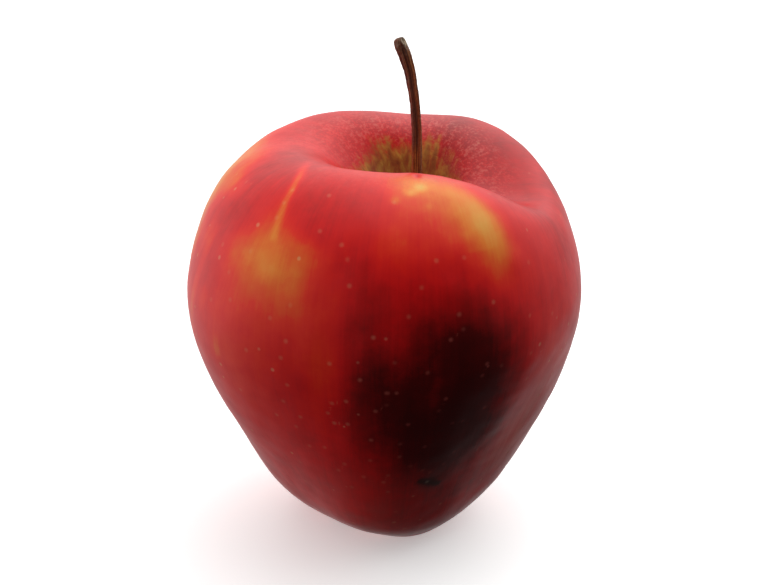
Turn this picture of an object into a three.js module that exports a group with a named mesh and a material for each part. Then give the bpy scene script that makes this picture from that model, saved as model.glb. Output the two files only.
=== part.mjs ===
// A whole dessert apple: a heart-shaped fruit with its stalk still on, and the dried calyx underneath.
//
// Millimetres, +Z up. The fruit stands on the five lobes round its calyx basin, so the surface it rests on is Z = 0.
// The origin is on that surface, under the middle of the fruit's outline. The stalk leans out of a cavity that sits
// a little to the +X side, and the crest is lowest on that side.
//
// Pieces:
//   fruit        the whole fruit, skin and flesh grown as one solid, with its stalk cavity and calyx basin
//   stem         the woody stalk, waisted along its shaft and flared at the knob where it left the twig
//   sepal_1..5   the five dried calyx leaves round the eye of the fruit
//   stamens      the withered tuft in the middle of the eye

import * as THREE from 'three';

// ---------------------------------------------------------------------------------------------------------------
// Driving dimensions
// ---------------------------------------------------------------------------------------------------------------

// Moves the fruit's own axis so that the middle of its outline is over the origin.
const SHIFT_X = 0.062;
const SHIFT_Y = 0.105;

// Mean profile of the fruit as [radius, height], from the middle of the calyx basin, over the feet at Z = 0, up the
// flank, over the crest and down to the bottom of the stalk cavity.
const PROFILE = [
  [0, 7], [3.2, 6.6], [6.2, 4.2], [8.8, 1.4], [12, 0], [15.34, 1.77], [20.25, 6.37], [25.29, 14.82],
  [30.41, 25.87], [34.92, 37.69], [36.87, 48.46], [35.47, 57.49], [31.76, 65.5], [26.46, 70.35], [20.3, 72.09],
  [14.05, 70.68], [9.8, 65.4], [6, 60], [2.6, 57.2], [0, 56.4],
];
// Place of each profile point along the skin, 0 at the calyx and 1 at the stalk.
const PROFILE_AT = [
  0, 0.025, 0.055, 0.084, 0.111, 0.141, 0.193, 0.27, 0.364, 0.461,
  0.546, 0.616, 0.685, 0.742, 0.79, 0.839, 0.894, 0.945, 0.979, 1,
];

// Stations along the skin where the section's centre and its departure from a circle are given.
const STATION_AT = [0, 0.111, 0.27, 0.546, 0.685, 0.79, 0.894, 1];
const CENTRE_X = [0.41, -0.14, -0.46, -0.54, 0, 1.45, 3.27, 4.89];
const CENTRE_Y = [0.17, 0.11, -0.09, -0.07, -0.04, -0.24, 0.27, 0.4];
// Radius waves: for 2, 3, 4 and 5 waves a turn, the cosine and sine amplitudes.
const RADIUS_WAVES = [
  [0, 0, 0, 0, 0, 0, 0, 0],
  [-0.13, -0.16, -0.65, 0.14, 0.13, 0.12, -0.15, 0.1],
  [-0.37, 0.03, -0.07, 0.3, 0.26, -0.22, 0.12, -0.57],
  [-0.47, 0.29, 0.09, -0.11, -0.39, 0.14, 0.43, -0.15],
  [-0.56, 0.17, -0.19, 0.45, -0.52, 0.2, -0.2, -0.2],
  [0.12, -0.14, -0.03, 0.13, -0.51, -0.07, -0.05, -0.2],
  [0.35, 0.01, 0.13, -0.15, -0.06, -0.18, -0.23, -0.04],
  [0, 0, 0, 0, 0, 0, 0, 0],
];
// Height waves: for 1, 2, 3, 4 and 5 waves a turn, the cosine and sine amplitudes.
const HEIGHT_WAVES = [
  [0, 0, 0, 0, 0, 0, 0, 0, 0, 0],
  [-0.04, 0.06, -0.12, 0.13, 0.19, 0.01, 0.06, 0.02, -0.1, -0.13],
  [-0.08, 0.17, 0.04, 0.07, -0.09, -0.17, -0.18, 0.23, 0.06, 0.23],
  [-0.1, 0.11, -0.26, 0.08, 0.06, 0.11, 0, -0.03, 0.01, 0.04],
  [-0.7, 0.44, -0.76, 0.25, -0.31, 0.42, -0.45, 0.08, -0.06, -0.09],
  [-3.07, -0.27, -2.67, 0.55, -1.16, 0.27, -0.88, 0.33, -0.42, 0.03],
  [-1.2, -0.73, -1.02, 0.15, -0.19, 0.25, 0.15, 0.29, 0.41, -0.18],
  [0, 0, 0, 0, 0, 0, 0, 0, 0, 0],
];

// The five feet: the lobes round the basin reach just below Z = 0 and are flattened there.
const FOOT_COUNT = 5;
const FOOT_FIRST = THREE.MathUtils.degToRad(-80);
const FOOT_RADIUS = 11.6;
const FOOT_SPREAD = 3.1;
const FOOT_GROOVE = 1.3; // how far the grooves between two feet rise
const FOOT_PRESS = 0.28; // how far a foot would reach below the surface if it were not flattened
const FOOT_ENDS_AT = 0.193; // no foot shape beyond this place along the skin

const FRUIT_SIDES = 60;

// The stalk: points of its centreline, from the bottom of the cavity to the knob, and its radius at each.
const STEM_PATH = [
  [4.93, 0.4, 57.15], [5.12, 0.38, 59.2], [5.34, 0.38, 62.2], [5.46, 0.4, 65.8], [5.48, 0.4, 69.35],
  [5.46, 0.4, 72.77], [5.41, 0.4, 76.54], [5.19, 0.4, 79.9], [4.87, 0.4, 82.86], [4.51, 0.4, 85.06],
  [4.14, 0.4, 87.25], [3.84, 0.4, 88.33], [3.48, 0.4, 89.42], [3.22, 0.4, 90.32], [2.93, 0.4, 91.04],
  [2.74, 0.4, 91.76], [2.56, 0.4, 92.5], [2.47, 0.4, 93.1],
];
const STEM_RADIUS = [
  1.25, 1.12, 1.02, 0.96, 0.92, 0.92, 0.92, 0.92, 0.92, 0.93, 0.96, 1.0, 1.06, 1.13, 1.2, 1.27, 1.27, 1.05,
];
const STEM_SIDES = 14;

// The calyx: five dried leaves that hang from the roof of the basin and curl outward at their tips.
const CALYX_X = 0.41;
const CALYX_Y = 0.17;
const SEPAL_COUNT = 5;
const SEPAL_FIRST = THREE.MathUtils.degToRad(-44);
// Along a sepal: [distance from the eye's axis, height, half width, half thickness].
const SEPAL_LINE = [
  [3.3, 5.95, 1.1, 0.28], [3.0, 5.45, 1.35, 0.31], [2.7, 4.75, 1.42, 0.3], [2.5, 3.95, 1.32, 0.27],
  [2.55, 3.15, 1.12, 0.24], [2.9, 2.45, 0.88, 0.21], [3.6, 1.95, 0.6, 0.18], [4.45, 1.75, 0.3, 0.15],
];
// Each sepal dries a little differently: [extra curl outward, extra length downward, sideways lean in degrees].
const SEPAL_HABIT = [
  [0, 0, 0], [0.4, -0.35, 3], [-0.3, 0.3, -3], [0.3, 0.1, 2], [-0.15, -0.15, -2],
];

// The withered stamens: a ragged plug in the middle of the eye, as [radius, height].
const STAMEN_LINE = [
  [1.2, 6.55], [1.28, 6.0], [1.1, 5.2], [0.95, 4.5], [1.0, 3.8], [0.8, 3.35],
];
const STAMEN_SIDES = 20;
const STAMEN_RIDGE = 0.12;

// ---------------------------------------------------------------------------------------------------------------
// Materials
// ---------------------------------------------------------------------------------------------------------------

const skinMaterial = new THREE.MeshStandardMaterial({ color: 0x961b1a, roughness: 0.4, metalness: 0 });
const stemMaterial = new THREE.MeshStandardMaterial({ color: 0x452414, roughness: 0.7, metalness: 0 });
const sepalMaterial = new THREE.MeshStandardMaterial({ color: 0x665036, roughness: 0.85, metalness: 0 });
const stamenMaterial = new THREE.MeshStandardMaterial({ color: 0x33241a, roughness: 0.9, metalness: 0 });

// ---------------------------------------------------------------------------------------------------------------
// Helpers
// ---------------------------------------------------------------------------------------------------------------

// A natural cubic spline through the values ys at the places xs.
function naturalSpline(xs, ys) {
  const n = xs.length;
  const bend = new Array(n).fill(0);
  const a = new Array(n).fill(0);
  const d = new Array(n).fill(0);
  for (let i = 1; i < n - 1; i++) {
    const left = xs[i] - xs[i - 1];
    const right = xs[i + 1] - xs[i];
    const rise = 6 * ((ys[i + 1] - ys[i]) / right - (ys[i] - ys[i - 1]) / left);
    const pivot = 2 * (left + right) - left * a[i - 1];
    a[i] = right / pivot;
    d[i] = (rise - left * d[i - 1]) / pivot;
  }
  for (let i = n - 2; i > 0; i--) bend[i] = d[i] - a[i] * bend[i + 1];
  return (x) => {
    let i = 0;
    while (i < n - 2 && x > xs[i + 1]) i++;
    const h = xs[i + 1] - xs[i];
    const p = (xs[i + 1] - x) / h;
    const q = (x - xs[i]) / h;
    return p * ys[i] + q * ys[i + 1] + ((p * p * p - p) * bend[i] + (q * q * q - q) * bend[i + 1]) * h * h / 6;
  };
}

// A closed skin over a stack of rings, each with the same number of points, shut by one point at each end.
// The rings turn anticlockwise as seen from the last end.
function closedSkin(first, rings, last) {
  const sides = rings[0].length;
  const points = [first, ...rings.flat(), last];
  const end = points.length - 1;
  const at = (ring, side) => 1 + ring * sides + (side % sides);
  const faces = [];
  for (let s = 0; s < sides; s++) {
    faces.push(0, at(0, s + 1), at(0, s));
    faces.push(end, at(rings.length - 1, s), at(rings.length - 1, s + 1));
  }
  for (let r = 0; r < rings.length - 1; r++) {
    for (let s = 0; s < sides; s++) {
      const a = at(r, s), b = at(r, s + 1), c = at(r + 1, s + 1), e = at(r + 1, s);
      if ((r + s) % 2) faces.push(a, b, c, a, c, e);
      else faces.push(a, b, e, b, c, e);
    }
  }
  const geometry = new THREE.BufferGeometry();
  geometry.setAttribute('position', new THREE.Float32BufferAttribute(points.flat(), 3));
  geometry.setIndex(faces);
  geometry.computeVertexNormals();
  return geometry;
}

function named(name, geometry, material) {
  const mesh = new THREE.Mesh(geometry, material);
  mesh.name = name;
  return mesh;
}

// ---------------------------------------------------------------------------------------------------------------
// Fruit
// ---------------------------------------------------------------------------------------------------------------

const profileR = naturalSpline(PROFILE_AT, PROFILE.map((p) => p[0]));
const profileZ = naturalSpline(PROFILE_AT, PROFILE.map((p) => p[1]));
const centreX = naturalSpline(STATION_AT, CENTRE_X);
const centreY = naturalSpline(STATION_AT, CENTRE_Y);
const radiusWave = RADIUS_WAVES[0].map((_, i) => naturalSpline(STATION_AT, RADIUS_WAVES.map((row) => row[i])));
const heightWave = HEIGHT_WAVES[0].map((_, i) => naturalSpline(STATION_AT, HEIGHT_WAVES.map((row) => row[i])));

// The point of the skin at place u along it and angle phi round it.
function skinPoint(u, phi) {
  let r = profileR(u);
  let z = profileZ(u);
  radiusWave.forEach((wave, i) => {
    const k = 2 + (i >> 1);
    r += wave(u) * (i % 2 ? Math.sin(k * phi) : Math.cos(k * phi));
  });
  heightWave.forEach((wave, i) => {
    const k = 1 + (i >> 1);
    z += wave(u) * (i % 2 ? Math.sin(k * phi) : Math.cos(k * phi));
  });
  if (u < FOOT_ENDS_AT) {
    const near = Math.exp(-(((r - FOOT_RADIUS) / FOOT_SPREAD) ** 2));
    const groove = (1 - Math.cos(FOOT_COUNT * (phi - FOOT_FIRST))) / 2;
    z += near * (FOOT_GROOVE * groove - FOOT_PRESS);
  }
  return [
    r * Math.cos(phi) + centreX(u) + SHIFT_X,
    r * Math.sin(phi) + centreY(u) + SHIFT_Y,
    Math.max(z, 0),
  ];
}

// Places of the rings: close together over the feet, in the basin and over the crest, wider along the flank.
function ringPlaces() {
  const places = [];
  const stretch = (from, to, steps) => {
    for (let i = 0; i < steps; i++) places.push(from + (to - from) * i / steps);
  };
  stretch(0.014, 0.08, 5);
  stretch(0.08, 0.145, 10);
  stretch(0.145, 0.62, 18);
  stretch(0.62, 0.9, 15);
  stretch(0.9, 0.988, 6);
  places.push(0.988);
  return places;
}

function makeFruit() {
  const rings = ringPlaces().map((u) => {
    const ring = [];
    for (let s = 0; s < FRUIT_SIDES; s++) ring.push(skinPoint(u, FOOT_FIRST + 2 * Math.PI * s / FRUIT_SIDES));
    return ring;
  });
  return closedSkin(skinPoint(0, 0), rings, skinPoint(1, 0));
}

// ---------------------------------------------------------------------------------------------------------------
// Stalk
// ---------------------------------------------------------------------------------------------------------------

function makeStem() {
  const line = STEM_PATH.map(([x, y, z]) => new THREE.Vector3(x + SHIFT_X, y + SHIFT_Y, z));
  const side = new THREE.Vector3();
  const up = new THREE.Vector3(0, 1, 0);
  const rings = line.map((point, i) => {
    const along = line[Math.min(i + 1, line.length - 1)].clone().sub(line[Math.max(i - 1, 0)]).normalize();
    side.crossVectors(up, along).normalize();
    const across = new THREE.Vector3().crossVectors(along, side);
    const ring = [];
    for (let s = 0; s < STEM_SIDES; s++) {
      const a = 2 * Math.PI * s / STEM_SIDES;
      const r = STEM_RADIUS[i] * (1 + 0.035 * Math.cos(2 * a) + 0.02 * Math.cos(3 * a + 0.2 * i));
      const p = point.clone().addScaledVector(side, r * Math.cos(a)).addScaledVector(across, r * Math.sin(a));
      ring.push(p.toArray());
    }
    return ring;
  });
  const foot = line[0].clone().add(new THREE.Vector3(-0.02, 0, -0.22));
  const top = line[line.length - 1].clone().add(new THREE.Vector3(-0.05, 0, 0.42));
  return closedSkin(foot.toArray(), rings, top.toArray());
}

// ---------------------------------------------------------------------------------------------------------------
// Calyx
// ---------------------------------------------------------------------------------------------------------------

function makeSepal(index) {
  const [curl, drop, lean] = SEPAL_HABIT[index];
  const turn = SEPAL_FIRST + 2 * Math.PI * index / SEPAL_COUNT;
  const radial = [Math.cos(turn), Math.sin(turn)];
  const sideways = [-Math.sin(turn), Math.cos(turn)];
  const steps = SEPAL_LINE.length;
  const middle = SEPAL_LINE.map(([r, z], i) => {
    const s = i / (steps - 1);
    return [r + curl * s * s, z - drop * s, Math.tan(THREE.MathUtils.degToRad(lean)) * (SEPAL_LINE[0][1] - z)];
  });
  const place = ([r, z, w]) => [
    CALYX_X + SHIFT_X + r * radial[0] + w * sideways[0],
    CALYX_Y + SHIFT_Y + r * radial[1] + w * sideways[1],
    z,
  ];
  const rings = middle.map(([r, z, w], i) => {
    const next = middle[Math.min(i + 1, steps - 1)];
    const prev = middle[Math.max(i - 1, 0)];
    const dr = next[0] - prev[0], dz = next[1] - prev[1];
    const length = Math.hypot(dr, dz);
    const out = [-dz / length, dr / length]; // across the leaf, away from the eye's axis
    const halfWidth = SEPAL_LINE[i][2], halfThick = SEPAL_LINE[i][3];
    const ring = [];
    for (let k = 0; k < 10; k++) {
      const a = 2 * Math.PI * k / 10;
      const across = halfWidth * Math.cos(a);
      const cup = 0.16 * (across / halfWidth) ** 2 * halfWidth; // edges lean in towards the axis
      const thick = halfThick * Math.sin(a) - cup;
      ring.push(place([r + out[0] * thick, z + out[1] * thick, w + across]));
    }
    return ring;
  });
  const [r0, z0, w0] = middle[0];
  const [r1, z1, w1] = middle[steps - 1];
  return closedSkin(place([r0 + 0.03, z0 + 0.1, w0]), rings, place([r1 + 0.16, z1 - 0.02, w1]));
}

function makeStamens() {
  const rings = STAMEN_LINE.map(([radius, z], i) => {
    const ring = [];
    for (let s = 0; s < STAMEN_SIDES; s++) {
      const a = 2 * Math.PI * s / STAMEN_SIDES;
      const r = radius + (s % 2 ? STAMEN_RIDGE : -STAMEN_RIDGE);
      const ragged = i === STAMEN_LINE.length - 1 ? 0.25 * Math.sin(3.7 * s) : 0;
      ring.push([CALYX_X + SHIFT_X + r * Math.cos(a), CALYX_Y + SHIFT_Y + r * Math.sin(a), z + ragged]);
    }
    return ring;
  });
  const top = STAMEN_LINE[0][1], bottom = STAMEN_LINE[STAMEN_LINE.length - 1][1];
  return closedSkin(
    [CALYX_X + SHIFT_X, CALYX_Y + SHIFT_Y, top + 0.05],
    rings,
    [CALYX_X + SHIFT_X, CALYX_Y + SHIFT_Y, bottom + 0.1],
  );
}

// The calyx rings run downward, so their skins are turned inside out to face outward.
function turned(geometry) {
  const index = geometry.getIndex();
  for (let i = 0; i < index.count; i += 3) {
    const b = index.getX(i + 1);
    index.setX(i + 1, index.getX(i + 2));
    index.setX(i + 2, b);
  }
  geometry.computeVertexNormals();
  return geometry;
}

// ---------------------------------------------------------------------------------------------------------------
// Apple
// ---------------------------------------------------------------------------------------------------------------

const apple = new THREE.Group();
apple.name = 'apple';

apple.add(named('fruit', makeFruit(), skinMaterial));
apple.add(named('stem', makeStem(), stemMaterial));

const calyx = new THREE.Group();
for (let i = 0; i < SEPAL_COUNT; i++) calyx.add(named(`sepal_${i + 1}`, makeSepal(i), sepalMaterial));
calyx.add(named('stamens', turned(makeStamens()), stamenMaterial));
apple.add(calyx);

export default apple;
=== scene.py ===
"""The apple's looks: a fine skin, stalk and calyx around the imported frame, on a pale studio floor."""

import math

import bpy
import numpy as np
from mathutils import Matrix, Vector


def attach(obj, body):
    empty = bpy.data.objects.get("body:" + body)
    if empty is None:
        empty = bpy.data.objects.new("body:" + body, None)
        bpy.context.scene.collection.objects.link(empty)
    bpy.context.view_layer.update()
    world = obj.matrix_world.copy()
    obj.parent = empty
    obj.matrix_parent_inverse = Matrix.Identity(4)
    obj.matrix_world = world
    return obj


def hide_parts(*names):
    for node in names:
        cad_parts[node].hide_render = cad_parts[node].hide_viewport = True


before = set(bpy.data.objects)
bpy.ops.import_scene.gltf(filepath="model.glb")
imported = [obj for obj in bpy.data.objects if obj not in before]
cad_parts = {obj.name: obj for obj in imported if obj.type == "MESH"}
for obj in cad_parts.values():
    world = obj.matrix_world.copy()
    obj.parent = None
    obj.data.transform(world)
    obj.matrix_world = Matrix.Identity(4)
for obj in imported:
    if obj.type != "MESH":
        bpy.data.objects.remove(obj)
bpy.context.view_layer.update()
MM = 0.001
scene = bpy.context.scene
collection = scene.collection

# ------------------------------------------------------------------------------------------------------------------
# Camera: the photograph's viewing angle, 24 degrees above the surface
# ------------------------------------------------------------------------------------------------------------------
cam_data = bpy.data.cameras.new("camera")
cam = bpy.data.objects.new("camera", cam_data)
collection.objects.link(cam)
cam.location = (0.682 * MM, -273.901 * MM, 167.048 * MM)
cam.rotation_euler = (math.radians(90 - 24.027), 0.0, 0.0)
cam_data.sensor_width = 36.0
cam_data.lens = 74.18
cam_data.clip_start = 0.01
cam_data.clip_end = 20.0
scene.camera = cam

# ------------------------------------------------------------------------------------------------------------------
# The fruit's shape: the same surface as the CAD fruit, in millimetres
# ------------------------------------------------------------------------------------------------------------------
SHIFT = np.array([0.062, 0.105])
PROFILE = np.array([
    [0, 7], [3.2, 6.6], [6.2, 4.2], [8.8, 1.4], [12, 0], [15.34, 1.77], [20.25, 6.37], [25.29, 14.82],
    [30.41, 25.87], [34.92, 37.69], [36.87, 48.46], [35.47, 57.49], [31.76, 65.5], [26.46, 70.35], [20.3, 72.09],
    [14.05, 70.68], [9.8, 65.4], [6, 60], [2.6, 57.2], [0, 56.4]])
PROFILE_AT = np.array([
    0, 0.025, 0.055, 0.084, 0.111, 0.141, 0.193, 0.27, 0.364, 0.461,
    0.546, 0.616, 0.685, 0.742, 0.79, 0.839, 0.894, 0.945, 0.979, 1])
STATION_AT = np.array([0, 0.111, 0.27, 0.546, 0.685, 0.79, 0.894, 1])
CENTRE_X = np.array([0.41, -0.14, -0.46, -0.54, 0, 1.45, 3.27, 4.89])
CENTRE_Y = np.array([0.17, 0.11, -0.09, -0.07, -0.04, -0.24, 0.27, 0.4])
RADIUS_WAVES = np.array([
    [0, 0, 0, 0, 0, 0, 0, 0],
    [-0.13, -0.16, -0.65, 0.14, 0.13, 0.12, -0.15, 0.1],
    [-0.37, 0.03, -0.07, 0.3, 0.26, -0.22, 0.12, -0.57],
    [-0.47, 0.29, 0.09, -0.11, -0.39, 0.14, 0.43, -0.15],
    [-0.56, 0.17, -0.19, 0.45, -0.52, 0.2, -0.2, -0.2],
    [0.12, -0.14, -0.03, 0.13, -0.51, -0.07, -0.05, -0.2],
    [0.35, 0.01, 0.13, -0.15, -0.06, -0.18, -0.23, -0.04],
    [0, 0, 0, 0, 0, 0, 0, 0]])
HEIGHT_WAVES = np.array([
    [0, 0, 0, 0, 0, 0, 0, 0, 0, 0],
    [-0.04, 0.06, -0.12, 0.13, 0.19, 0.01, 0.06, 0.02, -0.1, -0.13],
    [-0.08, 0.17, 0.04, 0.07, -0.09, -0.17, -0.18, 0.23, 0.06, 0.23],
    [-0.1, 0.11, -0.26, 0.08, 0.06, 0.11, 0, -0.03, 0.01, 0.04],
    [-0.7, 0.44, -0.76, 0.25, -0.31, 0.42, -0.45, 0.08, -0.06, -0.09],
    [-3.07, -0.27, -2.67, 0.55, -1.16, 0.27, -0.88, 0.33, -0.42, 0.03],
    [-1.2, -0.73, -1.02, 0.15, -0.19, 0.25, 0.15, 0.29, 0.41, -0.18],
    [0, 0, 0, 0, 0, 0, 0, 0, 0, 0]])
FOOT_FIRST = math.radians(-80)
SKIN_LENGTH = 129.6  # from the calyx to the stalk along the skin


def spline(xs, ys, x):
    """A natural cubic spline through ys at xs, taken at x. ys may have several columns."""
    xs, ys, x = np.asarray(xs, float), np.asarray(ys, float), np.asarray(x, float)
    flat = ys.reshape(len(xs), -1)
    n = len(xs)
    h = np.diff(xs)
    a = np.zeros((n, n))
    a[0, 0] = a[-1, -1] = 1
    rhs = np.zeros_like(flat)
    for i in range(1, n - 1):
        a[i, i - 1], a[i, i], a[i, i + 1] = h[i - 1], 2 * (h[i - 1] + h[i]), h[i]
        rhs[i] = 6 * ((flat[i + 1] - flat[i]) / h[i] - (flat[i] - flat[i - 1]) / h[i - 1])
    m = np.linalg.solve(a, rhs)
    i = np.clip(np.searchsorted(xs, x, side="right") - 1, 0, n - 2)
    hh = h[i][..., None]
    p = (xs[i + 1] - x)[..., None] / hh
    q = (x - xs[i])[..., None] / hh
    out = p * flat[i] + q * flat[i + 1] + ((p**3 - p) * m[i] + (q**3 - q) * m[i + 1]) * hh**2 / 6
    return out.reshape(x.shape + ys.shape[1:])


def skin_points(u, phi):
    """Points of the skin for every place u along it (rows) and angle phi round it (columns)."""
    prof = spline(PROFILE_AT, PROFILE, u)
    cx, cy = spline(STATION_AT, CENTRE_X, u), spline(STATION_AT, CENTRE_Y, u)
    rw, zw = spline(STATION_AT, RADIUS_WAVES, u), spline(STATION_AT, HEIGHT_WAVES, u)
    r = prof[:, :1] + np.zeros((1, len(phi)))
    z = prof[:, 1:] + np.zeros((1, len(phi)))
    for k in range(2, 6):
        j = 2 * (k - 2)
        r = r + rw[:, j : j + 1] * np.cos(k * phi) + rw[:, j + 1 : j + 2] * np.sin(k * phi)
    for k in range(1, 6):
        j = 2 * (k - 1)
        z = z + zw[:, j : j + 1] * np.cos(k * phi) + zw[:, j + 1 : j + 2] * np.sin(k * phi)
    near = np.exp(-(((r - 11.6) / 3.1) ** 2)) * (u < 0.193)[:, None]
    z = z + near * (1.3 * (1 - np.cos(5 * (phi - FOOT_FIRST))) / 2 - 0.28)
    x = r * np.cos(phi) + cx[:, None] + SHIFT[0]
    y = r * np.sin(phi) + cy[:, None] + SHIFT[1]
    return np.stack([x, y, np.maximum(z, 0)], -1)


def waves(points, count, short, long, seed):
    """A smooth random field over points (mm), made of plane waves between two wavelengths; spread about 1."""
    rng = np.random.default_rng(seed)
    total = np.zeros(points.shape[:-1])
    for _ in range(count):
        d = rng.normal(size=3)
        d /= np.linalg.norm(d)
        length = math.exp(rng.uniform(math.log(short), math.log(long)))
        total += np.sin(points @ d * (2 * math.pi / length) + rng.uniform(0, 2 * math.pi))
    return total / math.sqrt(count / 2)


RINGS, SIDES = 300, 330


def ring_places():
    """Places of the rings, closer together over the feet and down the cavity."""
    t = np.linspace(0, 1, 4000)
    density = 1 + 0.5 * np.exp(-(((t - 0.11) / 0.04) ** 2)) + 0.35 * np.exp(-(((t - 0.93) / 0.05) ** 2))
    along = np.concatenate([[0], np.cumsum((density[1:] + density[:-1]) / 2)])
    along /= along[-1]
    return np.interp(np.linspace(0.5 / RINGS, 1 - 0.5 / RINGS, RINGS), along, t)


def ramp(x, low, high):
    """0 below low, 1 above high, smooth between; low may be above high."""
    t = np.clip((x - low) / (high - low), 0, 1)
    return t * t * (3 - 2 * t)


U = ring_places()
PHI = FOOT_FIRST + 2 * math.pi * np.arange(SIDES) / SIDES
SKIN = skin_points(U, PHI)


def grid_normals(points):
    du = np.gradient(points, axis=0)
    dp = (np.roll(points, -1, 1) - np.roll(points, 1, 1)) / 2
    n = np.cross(dp, du)
    return n / (np.linalg.norm(n, axis=-1, keepdims=True) + 1e-12)


SKIN_N = grid_normals(SKIN)
if (SKIN_N[RINGS // 2] * (SKIN[RINGS // 2] - [0, 0, 40])).sum() < 0:
    SKIN_N = -SKIN_N

# unevenness of grown flesh: broad soft swells and a finer ripple, none where the fruit stands or the stalk joins
free = ramp(SKIN[..., 2], 0.4, 3.0) * ramp(U, 0.99, 0.955)[:, None]
swell = 0.050 * waves(SKIN, 26, 11, 24, 11) + 0.016 * waves(SKIN, 30, 3.5, 7, 12)
# the small nick that the near rim has just under the stalk
nick = np.exp(-(((SKIN[..., 0] - 5.3) / 0.55) ** 2) - (((SKIN[..., 1] + 16.9) / 1.3) ** 2)) * (SKIN[..., 2] > 70)
# a low ridge down the right of the front, between two flatter sides
rib = [skin_points(np.array([u]), np.array([math.radians(p)]))[0, 0] for u, p in ((0.24, -57), (0.32, -53), (0.41, -49), (0.50, -47))]
rib_away = np.min([np.linalg.norm(SKIN - (a + (b - a) * t), axis=-1) for a, b in zip(rib, rib[1:]) for t in (0, 0.25, 0.5, 0.75, 1)], axis=0)
ridge = 0.30 * np.exp(-((rib_away / 5.5) ** 2))
SKIN = SKIN + SKIN_N * ((swell * free) + ridge - 0.16 * nick)[..., None]
SKIN[..., 2] = np.maximum(SKIN[..., 2], 0)


def closed_grid(name, rings, first, last, smooth=True):
    """One closed mesh from rings of points (mm), shut by a point at each end, faces pointing out."""
    count, sides = rings.shape[:2]
    verts = np.concatenate([[first], rings.reshape(-1, 3), [last]]) * MM
    at = 1 + np.arange(count * sides).reshape(count, sides)
    nxt = np.roll(at, -1, 1)
    quads = np.stack([at[:-1], nxt[:-1], nxt[1:], at[1:]], -1).reshape(-1, 4)
    fan0 = np.stack([np.zeros(sides, int), nxt[0], at[0]], -1)
    fan1 = np.stack([np.full(sides, len(verts) - 1), at[-1], nxt[-1]], -1)
    me = bpy.data.meshes.new(name)
    me.from_pydata(verts.tolist(), [], quads.tolist() + fan0.tolist() + fan1.tolist())
    v = verts
    t = quads
    volume = (v[t[:, 0]] * np.cross(v[t[:, 1]], v[t[:, 2]])).sum() + (v[t[:, 0]] * np.cross(v[t[:, 2]], v[t[:, 3]])).sum()
    if volume < 0:
        me.flip_normals()
    me.validate()
    if smooth:
        me.shade_smooth()
    me.update()
    ob = bpy.data.objects.new(name, me)
    collection.objects.link(ob)
    return ob


def field(ob, name, grid, first, last):
    """A number for each vertex of a closed_grid mesh."""
    a = ob.data.attributes.new(name, "FLOAT", "POINT")
    a.data.foreach_set("value", np.concatenate([[first], grid.ravel(), [last]]).astype(np.float32))


fruit = closed_grid("apple_fruit", SKIN, skin_points(np.array([0.0]), np.array([0.0]))[0, 0],
                    skin_points(np.array([1.0]), np.array([0.0]))[0, 0])
# ------------------------------------------------------------------------------------------------------------------
# The skin's markings, as numbers on its points: how much red pigment (with painted shade in it), where russet, streaks
# and pores are, and where sheen and highlights are painted
# ------------------------------------------------------------------------------------------------------------------
DEG = np.degrees(PHI)[None, :]
PLACE = U[:, None] + 0 * DEG


def turn(phi_deg):
    """Signed angle (degrees) from phi_deg to each column."""
    return (DEG - phi_deg + 180) % 360 - 180


def spot_at(u, phi_deg):
    return skin_points(np.array([u]), np.array([math.radians(phi_deg)]))[0, 0]


def dab(u, phi_deg, size):
    """A soft round dab centred on a place of the skin, size in mm."""
    d2 = ((SKIN - spot_at(u, phi_deg)) ** 2).sum(-1)
    return np.exp(-d2 / size**2)


def band(places):
    """Distance (mm) to a line through places of the skin, and how far along it (0 to 1) the nearest point is."""
    pts = np.array([spot_at(u, p) for u, p in places])
    best = np.full(PLACE.shape, 1e9)
    along = np.zeros(PLACE.shape)
    for i in range(len(pts) - 1):
        seg = pts[i + 1] - pts[i]
        t = np.clip(((SKIN - pts[i]) @ seg) / (seg @ seg), 0, 1)
        d = np.linalg.norm(SKIN - pts[i] - t[..., None] * seg, axis=-1)
        along = np.where(d < best, (i + t) / (len(pts) - 1), along)
        best = np.minimum(best, d)
    return best, along


def stripe(phi_deg, width, low, high, soft=0.05):
    """A band up the skin from place low to high, width in degrees."""
    w = 1 + 0.18 * np.sin(9 * PLACE + phi_deg)
    return np.exp(-((turn(phi_deg) / (width * w)) ** 2)) * ramp(PLACE, low - soft, low + soft) * ramp(PLACE, high + soft, high - soft)


slow = waves(SKIN, 24, 26, 60, 21)
soft = waves(SKIN, 30, 7, 15, 22)
# unevenness that runs along the flow of the skin
ray = np.stack([np.cos(PHI)[None, :] + 0 * PLACE, np.sin(PHI)[None, :] + 0 * PLACE, 0.16 * PLACE], -1)
streak = waves(ray * 36, 40, 2.2, 7, 23)

red = 0.690 + 0.012 * slow + 0.010 * soft + 0.006 * streak

# the yellow patch on the left: sharp at its upper right, fading down and to the left
side, rise = turn(-125.5) * 0.60, (PLACE - 0.655) * 129.6
tall = np.where(rise > 0, 7.5, 10.5)
reach = np.sqrt((side / 13.0) ** 2 + (rise / tall) ** 2) * (1 + 0.03 * soft + 0.02 * streak)
crisp = np.exp(-(((np.arctan2(rise, side) - 0.55) / 0.85) ** 2))
patch = ramp(reach, 1.25 - 0.18 * crisp, 0.10 + 0.55 * crisp)
red = red - (0.150 + 0.01 * streak) * patch - 0.115 * dab(0.683, -129, 6.5) - 0.06 * dab(0.649, -123.5, 2.2)
red = red - 0.035 * dab(0.668, -142, 6.0) - 0.035 * dab(0.590, -119, 11.0) - 0.035 * dab(0.635, -112, 6.0)

# the pale line that runs from it over the shoulder
d, t = band([(0.690, -126.5), (0.723, -128.5), (0.747, -130), (0.772, -134), (0.800, -143.5), (0.822, -165)])
line = np.exp(-((d / (0.86 - 0.20 * t)) ** 2)) * ramp(t, 0.92, 0.62)
red = red - (0.20 + 0.04 * ramp(t, 0.2, 0.5)) * line * (1 - 0.7 * patch)

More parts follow.
